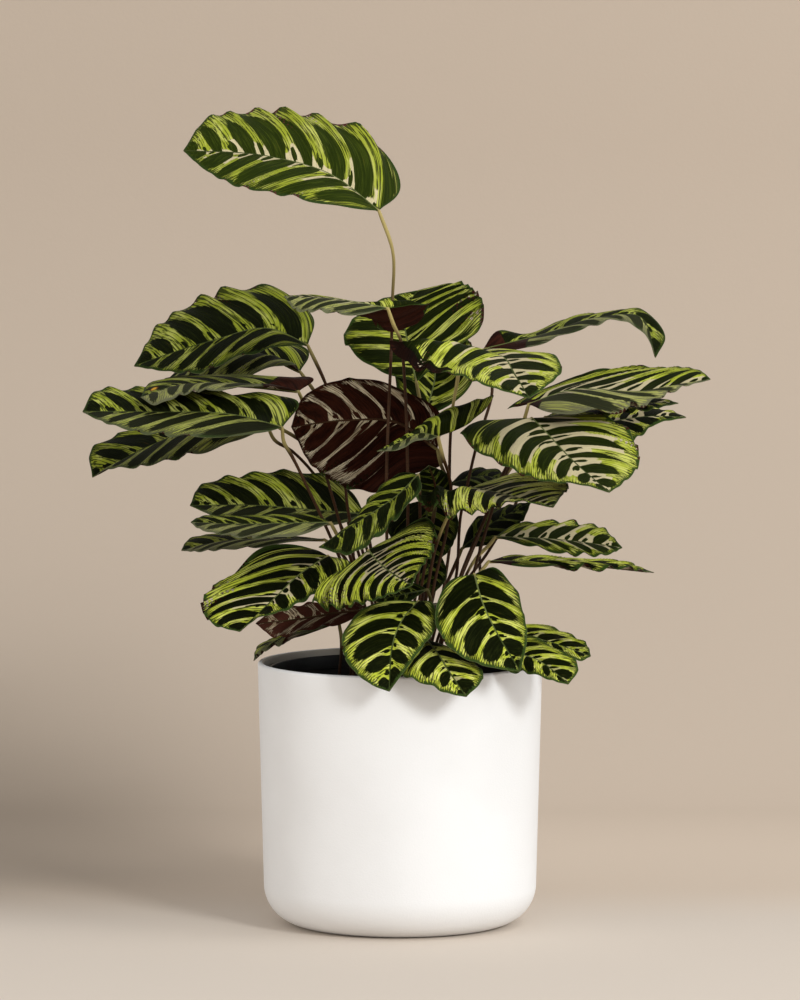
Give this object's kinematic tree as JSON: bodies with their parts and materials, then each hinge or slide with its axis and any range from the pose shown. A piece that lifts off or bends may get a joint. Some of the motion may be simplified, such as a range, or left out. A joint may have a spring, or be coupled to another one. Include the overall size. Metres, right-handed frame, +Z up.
{
  "type": "potted calathea",
  "caption": "Peacock-patterned calathea with waved oval leaves on thin petioles, standing in soil in a black nursery pot inside a white cylindrical cachepot with a rounded foot",
  "frame": {"origin": "centre of the cachepot's flat base, on the surface it stands on", "axes": "+Z up along the pot's axis, +X to the right and -Y towards the viewer as in the picture"},
  "size_m": [0.4182, 0.3277, 0.5468],
  "materials": {
    "pot_glaze": "matte",
    "black_plastic": "matte",
    "potting_mix": "matte",
    "leaf": "satin"
  },
  "bodies": {
    "root": {"cachepot": "pot_glaze", "nursery_pot": "black_plastic", "soil": "potting_mix", "leaf_top": "leaf", "leaf_left_high": "leaf", "leaf_left_high_back": "leaf", "leaf_left_flat": "leaf", "leaf_left_long": "leaf", "leaf_left_behind": "leaf", "leaf_maroon_back": "leaf", "leaf_tent_high": "leaf", "leaf_round_back": "leaf", "leaf_hidden_back": "leaf", "leaf_bright_tent": "leaf", "leaf_curled": "leaf", "leaf_right_big": "leaf", "leaf_right_high": "leaf", "leaf_ribbon": "leaf", "leaf_right_back": "leaf", "leaf_right_flat": "leaf", "leaf_tent_low": "leaf", "leaf_mid_back": "leaf", "leaf_dark_mid": "leaf", "leaf_right_low": "leaf", "leaf_right_edge": "leaf", "leaf_front_right": "leaf", "leaf_front_left": "leaf", "leaf_front_small": "leaf", "leaf_front_rim": "leaf", "leaf_right_rim": "leaf", "leaf_centre": "leaf", "leaf_s_curve": "leaf", "leaf_cupped": "leaf", "leaf_dark_centre": "leaf", "leaf_under_dark": "leaf", "leaf_under_centre": "leaf", "leaf_left_low": "leaf", "leaf_left_mid": "leaf", "leaf_left_glance": "leaf", "leaf_left_edge": "leaf", "leaf_maroon_low": "leaf", "leaf_rim_left": "leaf", "leaf_rear_high": "leaf", "leaf_rear_centre": "leaf", "leaf_rear_right": "leaf", "leaf_rear_left": "leaf", "leaf_rear_low": "leaf", "leaf_rear_low_left": "leaf", "leaf_rear_left_low": "leaf"}
  },
  "joints": []
}
